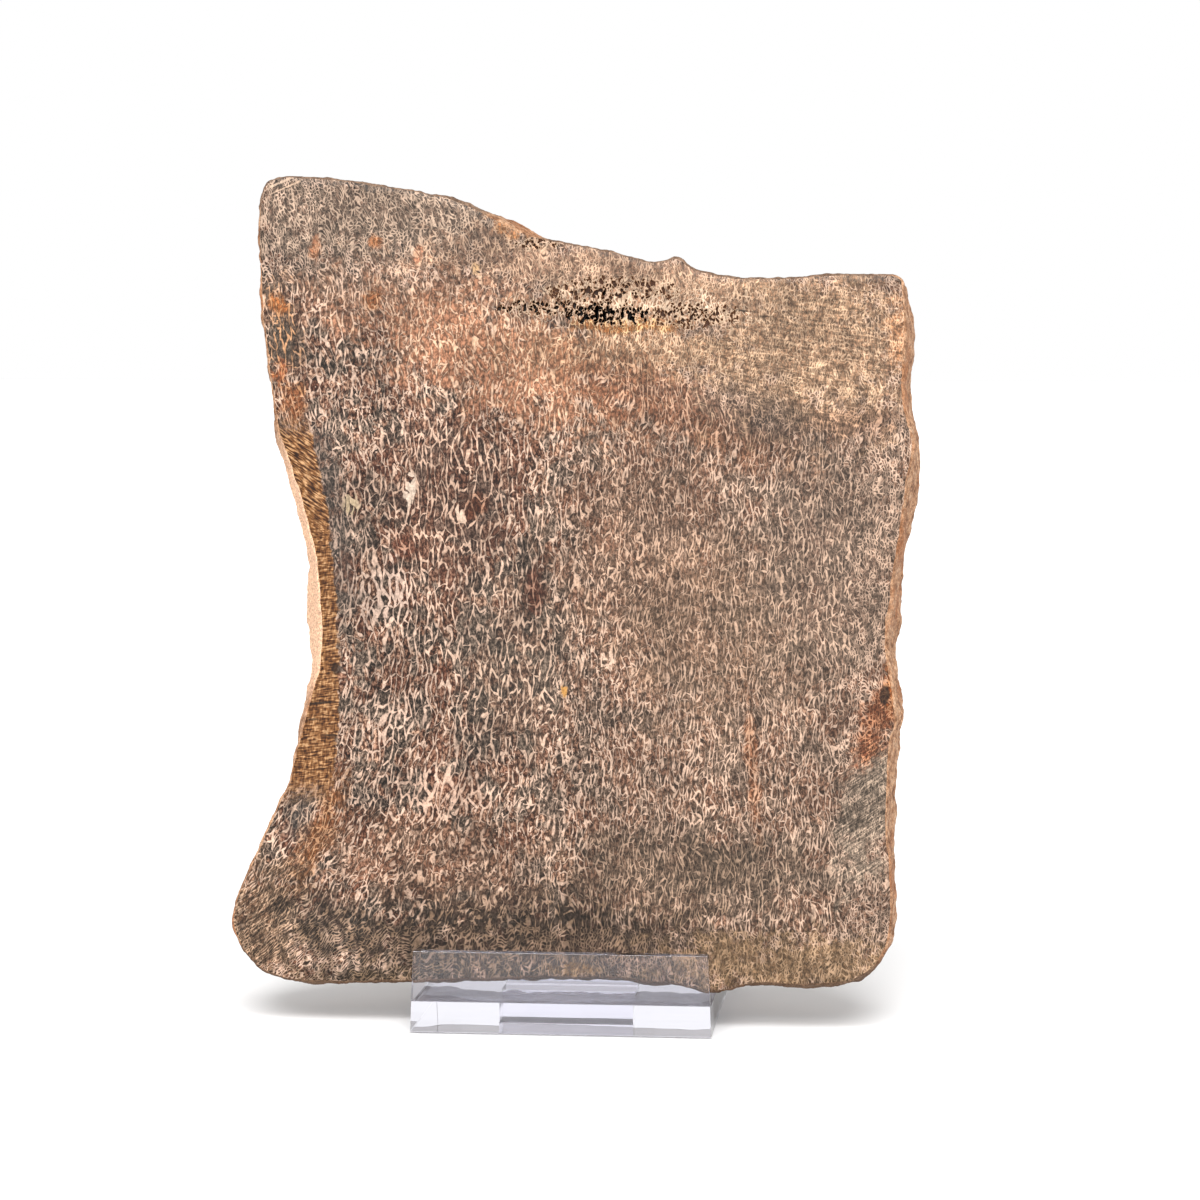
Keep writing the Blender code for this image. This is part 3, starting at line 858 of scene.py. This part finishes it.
# The stand: one piece of clear moulded plastic with a base, a low lip in front
# and a back rest. The mould leaves a window in the base in front of the back
# rest, and rounds all the edges a little.

EDGE_ROUNDING = 0.28 * MM
SHARP = math.radians(30.0)
FLAT = math.radians(1.0)
PLASTIC_TINT = (0.930, 0.925, 0.990, 1.0)
PLASTIC_IOR = 1.49
MOST_RUBBED = 0.05
WAVE_HEIGHT = 0.4 * MM

bm = bmesh.new()
bm.from_mesh(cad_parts["display_stand"].data)
bmesh.ops.remove_doubles(bm, verts=bm.verts, dist=WELD)
bmesh.ops.dissolve_limit(bm, angle_limit=FLAT, verts=bm.verts, edges=bm.edges)
corners = [e for e in bm.edges if e.is_manifold and e.calc_face_angle() > SHARP]
bmesh.ops.bevel(
    bm,
    geom=corners,
    offset=EDGE_ROUNDING,
    segments=2,
    profile=0.5,
    affect="EDGES",
    clamp_overlap=True,
)
keep_in_box(bm, *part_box("display_stand"))
stand_mesh = bpy.data.meshes.new("clear_stand")
bm.to_mesh(stand_mesh)
bm.free()
stand = bpy.data.objects.new("clear_stand", stand_mesh)
bpy.context.scene.collection.objects.link(stand)


def clear_plastic_material():
    """Clear plastic with a slightly wavy moulded surface and fine rubbing."""
    material, pattern, position = new_material("clear_plastic")
    place = pattern.vector("SCALE", position, scale=1.0 / MM)
    waves = pattern.noise(place, 0.10, 1.0, solid=True)
    drawn = pattern.vector("MULTIPLY", place, (0.25, 1.0, 2.2))
    scuffs = pattern.noise(drawn, 1.2, 3.0, 0.7, solid=True)
    heights = {"Strength": 0.12, "Distance": WAVE_HEIGHT, "Height": waves}
    bump = pattern.node("ShaderNodeBump", heights)
    inputs = {
        "Base Color": PLASTIC_TINT,
        "Roughness": pattern.ease(scuffs, 0.60, 0.76, 0.0, MOST_RUBBED),
        "Transmission Weight": 1.0,
        "IOR": PLASTIC_IOR,
        "Normal": bump.outputs[0],
    }
    shader = pattern.node("ShaderNodeBsdfPrincipled", inputs)
    pattern.node("ShaderNodeOutputMaterial", {"Surface": shader.outputs[0]})
    return material


stand.data.materials.append(clear_plastic_material())
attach(stand, "root")
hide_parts("display_stand")

# The floor: a white sweep of matt paper that the stand rests on. It lies a
# hair's breadth below the stand, and is much wider than the view.

FLOOR_SIZE = 12.0
FLOOR_GAP = 0.3 * MM
PAPER_WHITE = (0.95, 0.95, 0.95, 1.0)

bpy.ops.object.select_all(action="DESELECT")
bpy.ops.mesh.primitive_plane_add(size=FLOOR_SIZE, location=(0.0, 0.0, -FLOOR_GAP))
floor = bpy.context.object
floor.name = "floor"
paper = bpy.data.materials.new("white_paper")
paper.use_nodes = True
paper_shader = paper.node_tree.nodes["Principled BSDF"]
paper_shader.inputs["Base Color"].default_value = PAPER_WHITE
paper_shader.inputs["Roughness"].default_value = 0.9
paper_shader.inputs["Specular IOR Level"].default_value = 0.1
floor.data.materials.append(paper)

# The light: a white room, which lights dull surfaces less than it shows behind
# and through clear ones, and one broad soft light from above and in front, so
# that the shadows fall behind the slab.

ROOM_WHITE = 1.0
ROOM_LIGHT = 0.70
SUN_STRENGTH = 3.2
SUN_WIDTH = math.radians(42.0)
SUN_AZIMUTH = math.radians(4.0)
SUN_ELEVATION = math.radians(48.0)

world = bpy.data.worlds.new("white_room")
world.use_nodes = True
room = Pattern(world.node_tree)
lighting = room.node("ShaderNodeLightPath").outputs["Is Diffuse Ray"]
background = world.node_tree.nodes["Background"]
background.inputs["Color"].default_value = (1.0, 1.0, 1.0, 1.0)
strength = room.blend(lighting, ROOM_WHITE, ROOM_LIGHT)
world.node_tree.links.new(strength, background.inputs["Strength"])
bpy.context.scene.world = world
bpy.context.scene.view_settings.view_transform = "Standard"

sun = bpy.data.lights.new("soft_key_light", "SUN")
sun.energy = SUN_STRENGTH
sun.angle = SUN_WIDTH
sun_holder = bpy.data.objects.new("soft_key_light", sun)
bpy.context.scene.collection.objects.link(sun_holder)
towards_sun = Vector((
    math.sin(SUN_AZIMUTH) * math.cos(SUN_ELEVATION),
    -math.cos(SUN_AZIMUTH) * math.cos(SUN_ELEVATION),
    math.sin(SUN_ELEVATION),
))
sun_holder.rotation_euler = (-towards_sun).to_track_quat("-Z", "Y").to_euler()

# The camera: level with the slab, a little to its right and well back, with a
# long lens that shows the slab without much perspective.

VIEW_DISTANCE = 595.5 * MM
VIEW_AZIMUTH = math.radians(5.65)
VIEW_ELEVATION = math.radians(4.5)
AIM_RIGHT = 6.5 * MM
AIM_HEIGHT = 72.55 * MM
VIEW_AIM = Vector((AIM_RIGHT + face_foot.x, face_foot.y - FACE_TO_LIP, AIM_HEIGHT))
SENSOR = 36.0
FOCAL_LENGTH = 108.0

back_to_camera = Vector((
    math.sin(VIEW_AZIMUTH) * math.cos(VIEW_ELEVATION),
    -math.cos(VIEW_AZIMUTH) * math.cos(VIEW_ELEVATION),
    math.sin(VIEW_ELEVATION),
))
camera = bpy.data.objects.new("camera", bpy.data.cameras.new("camera"))
bpy.context.scene.collection.objects.link(camera)
camera.location = VIEW_AIM + back_to_camera * VIEW_DISTANCE
camera.rotation_euler = (-back_to_camera).to_track_quat("-Z", "Y").to_euler()
camera.data.sensor_width = SENSOR
camera.data.lens = FOCAL_LENGTH
camera.data.clip_start = 0.01
camera.data.clip_end = 20.0
bpy.context.scene.camera = camera
